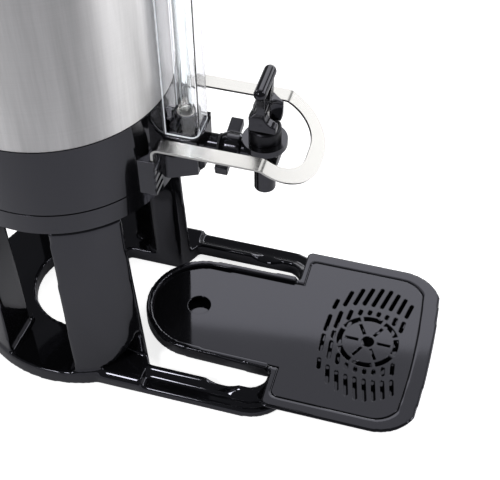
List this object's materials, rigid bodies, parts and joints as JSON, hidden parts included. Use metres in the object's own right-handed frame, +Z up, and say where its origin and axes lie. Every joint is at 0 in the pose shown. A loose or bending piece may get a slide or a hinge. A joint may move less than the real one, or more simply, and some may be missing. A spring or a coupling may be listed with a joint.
{
  "type": "coffee urn",
  "caption": "Insulated coffee urn on a stand, with a brew-through lid, folding bail, sight gauge, guarded spring tap and a pull-out drip tray.",
  "frame": {"origin": "on the counter, in the middle of the part's bounding box", "axes": "+Z up along the urn's axis, -Y towards the tap and the drip tray, +X to the right of someone who looks along +Y"},
  "size_m": [0.2286, 0.4672, 0.564],
  "materials": {
    "black_plastic": "satin to gloss moulded plastic",
    "brushed_steel": "brushed round the body",
    "bright_steel": "fine, nearly bright",
    "rubber": "matte",
    "silicone": "soft, milky",
    "glass": "clear",
    "clear_plastic": "clear moulded plastic",
    "seat_plastic": "pale moulded plastic"
  },
  "bodies": {
    "base": {"stand": "black_plastic", "stand_ring": "black_plastic", "stand_feet": "rubber", "ring_screws": "bright_steel", "bottom_collar": "black_plastic", "collar_screws": "bright_steel", "outer_shell": "brushed_steel", "inner_vessel": "brushed_steel", "outlet_pipe": "brushed_steel", "outlet_seal": "rubber", "shoulder_ring": "black_plastic", "mouth_gasket": "rubber", "bail_pins": "bright_steel", "tap_housing": "black_plastic", "housing_screws": "bright_steel", "sight_tube": "glass", "tube_seat": "seat_plastic", "tube_seal": "silicone", "gauge_bracket": "black_plastic", "gauge_shield": "clear_plastic", "tap_shank": "black_plastic", "shank_washer": "rubber", "tap_body": "black_plastic", "tap_bonnet": "black_plastic", "tap_spring": "bright_steel", "guard_strap": "bright_steel", "guard_bracket_left": "black_plastic", "guard_bracket_right": "black_plastic"},
    "lid": {"lid": "black_plastic", "lid_seal": "silicone", "fill_tube": "black_plastic"},
    "bail": {"bail": "black_plastic"},
    "cap": {"gauge_cap": "black_plastic"},
    "nut": {"wing_nut": "black_plastic"},
    "tray": {"drip_tray": "black_plastic"},
    "cover": {"drip_cover": "black_plastic"},
    "stem": {"tap_stem": "bright_steel", "seat_cup": "silicone", "handle_pin": "bright_steel"},
    "handle": {"tap_handle": "black_plastic"}
  },
  "joints": [
    {"name": "lid_lift", "type": "slide", "parent": "base", "child": "lid", "axis": [0, 0, 1], "range_m": [0, 0.25]},
    {"name": "bail_swing", "type": "hinge", "parent": "base", "child": "bail", "pos_m": [0, 0.11935, 0.541], "axis": [1, 0, 0], "range_deg": [0, 100]},
    {"name": "gauge_cap_lift", "type": "slide", "parent": "base", "child": "cap", "axis": [0, 0, 1], "range_m": [0, 0.02]},
    {"name": "wing_nut_spin", "type": "hinge", "parent": "base", "child": "nut", "pos_m": [0, -0.02865, 0.248], "axis": [0, 1, 0], "continuous": true},
    {"name": "tray_slide", "type": "slide", "parent": "base", "child": "tray", "axis": [0, -1, 0], "range_m": [0, 0.22]},
    {"name": "cover_lift", "type": "slide", "parent": "tray", "child": "cover", "axis": [0, 0, 1], "range_m": [0, 0.05]},
    {"name": "stem_lift", "type": "slide", "parent": "base", "child": "stem", "axis": [0, 0, 1], "range_m": [0, 0.004], "deforming": ["tap_spring"]},
    {"name": "handle_tilt", "type": "hinge", "parent": "stem", "child": "handle", "pos_m": [0, -0.06665, 0.291], "axis": [1, 0, 0], "range_deg": [0, 40], "stiffness_Nm_per_rad": 0.05, "springref_deg": -40.11}
  ],
  "couplings": [
    {"joint": "stem_lift", "follows": "handle_tilt", "m_per_rad": 0.005729}
  ]
}
